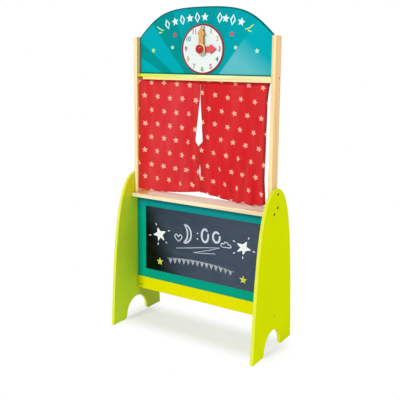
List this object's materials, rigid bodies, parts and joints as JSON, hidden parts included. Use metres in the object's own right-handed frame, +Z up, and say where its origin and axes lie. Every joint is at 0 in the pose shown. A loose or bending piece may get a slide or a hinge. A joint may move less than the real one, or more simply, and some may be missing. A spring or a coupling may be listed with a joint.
{
  "type": "puppet theater stand",
  "caption": "Free-standing puppet theater for a child: two side panels on arched feet, a stage shelf over a chalkboard, posts with a round header and toy clock, and sliding curtains.",
  "frame": {"origin": "on the floor, in the middle between the side panels", "axes": "+Z up, the stage and the chalkboard face -Y, +X to the right of someone who looks at the stage"},
  "size_m": [0.62, 0.3, 1.205],
  "materials": {
    "lime_paint": "satin paint on board",
    "teal_paint": "satin paint on board",
    "chalk_coat": "chalkboard paint with a soft sheen",
    "pine": "clear lacquered pine",
    "dial_white": "printed white board",
    "red_paint": "gloss paint on wood",
    "orange_paint": "gloss paint on wood",
    "zinc_steel": "zinc plated",
    "black_steel": "black oxide",
    "red_cloth": "light woven cotton with small printed stars"
  },
  "bodies": {
    "stand": {"side_panel_left": "lime_paint", "side_panel_right": "lime_paint", "bottom_rail": "lime_paint", "chalkboard_panel": "teal_paint", "chalk_sheet": "chalk_coat", "stage_shelf": "pine", "post_left": "pine", "post_right": "pine", "top_rail": "pine", "curtain_lath": "pine", "header_board": "teal_paint", "curtain_rod": "pine", "curtain_left": "red_cloth", "curtain_right": "red_cloth", "clock_dial": "dial_white", "dial_spacer": "zinc_steel", "hand_spacer": "zinc_steel", "hub_disc": "pine", "clock_knob": "red_paint", "clock_axle": "zinc_steel", "axle_washer": "zinc_steel", "axle_nut": "zinc_steel", "post_bolt_left_1": "black_steel", "post_bolt_left_2": "black_steel", "post_bolt_right_1": "black_steel", "post_bolt_right_2": "black_steel", "shelf_bolt_left": "black_steel", "shelf_bolt_right": "black_steel", "rail_bolt_left": "black_steel", "rail_bolt_right": "black_steel", "top_rail_screw_left": "black_steel", "top_rail_screw_right": "black_steel", "barrel_nut_left": "zinc_steel", "barrel_nut_right": "zinc_steel", "shelf_dowel_left": "pine", "shelf_dowel_right": "pine", "board_dowel_lower_left": "pine", "board_dowel_lower_right": "pine", "board_dowel_upper_left": "pine", "board_dowel_upper_right": "pine"},
    "hour_hand_body": {"hour_hand": "red_paint"},
    "minute_hand_body": {"minute_hand": "orange_paint"},
    "left_curtain_edge": {"curtain_hem_left": "red_cloth"},
    "right_curtain_edge": {"curtain_hem_right": "red_cloth"}
  },
  "joints": [
    {"name": "hour_hand_turn", "type": "hinge", "parent": "stand", "child": "hour_hand_body", "pos_m": [0, -0.0052, 1.0565], "axis": [0, 1, 0], "continuous": true},
    {"name": "minute_hand_turn", "type": "hinge", "parent": "stand", "child": "minute_hand_body", "pos_m": [0, -0.0108, 1.0565], "axis": [0, 1, 0], "continuous": true},
    {"name": "left_curtain_slide", "type": "slide", "parent": "stand", "child": "left_curtain_edge", "axis": [-1, 0, 0], "range_m": [0, 0.18], "deforming": ["curtain_left"]},
    {"name": "right_curtain_slide", "type": "slide", "parent": "stand", "child": "right_curtain_edge", "axis": [1, 0, 0], "range_m": [0, 0.18], "deforming": ["curtain_right"]}
  ]
}
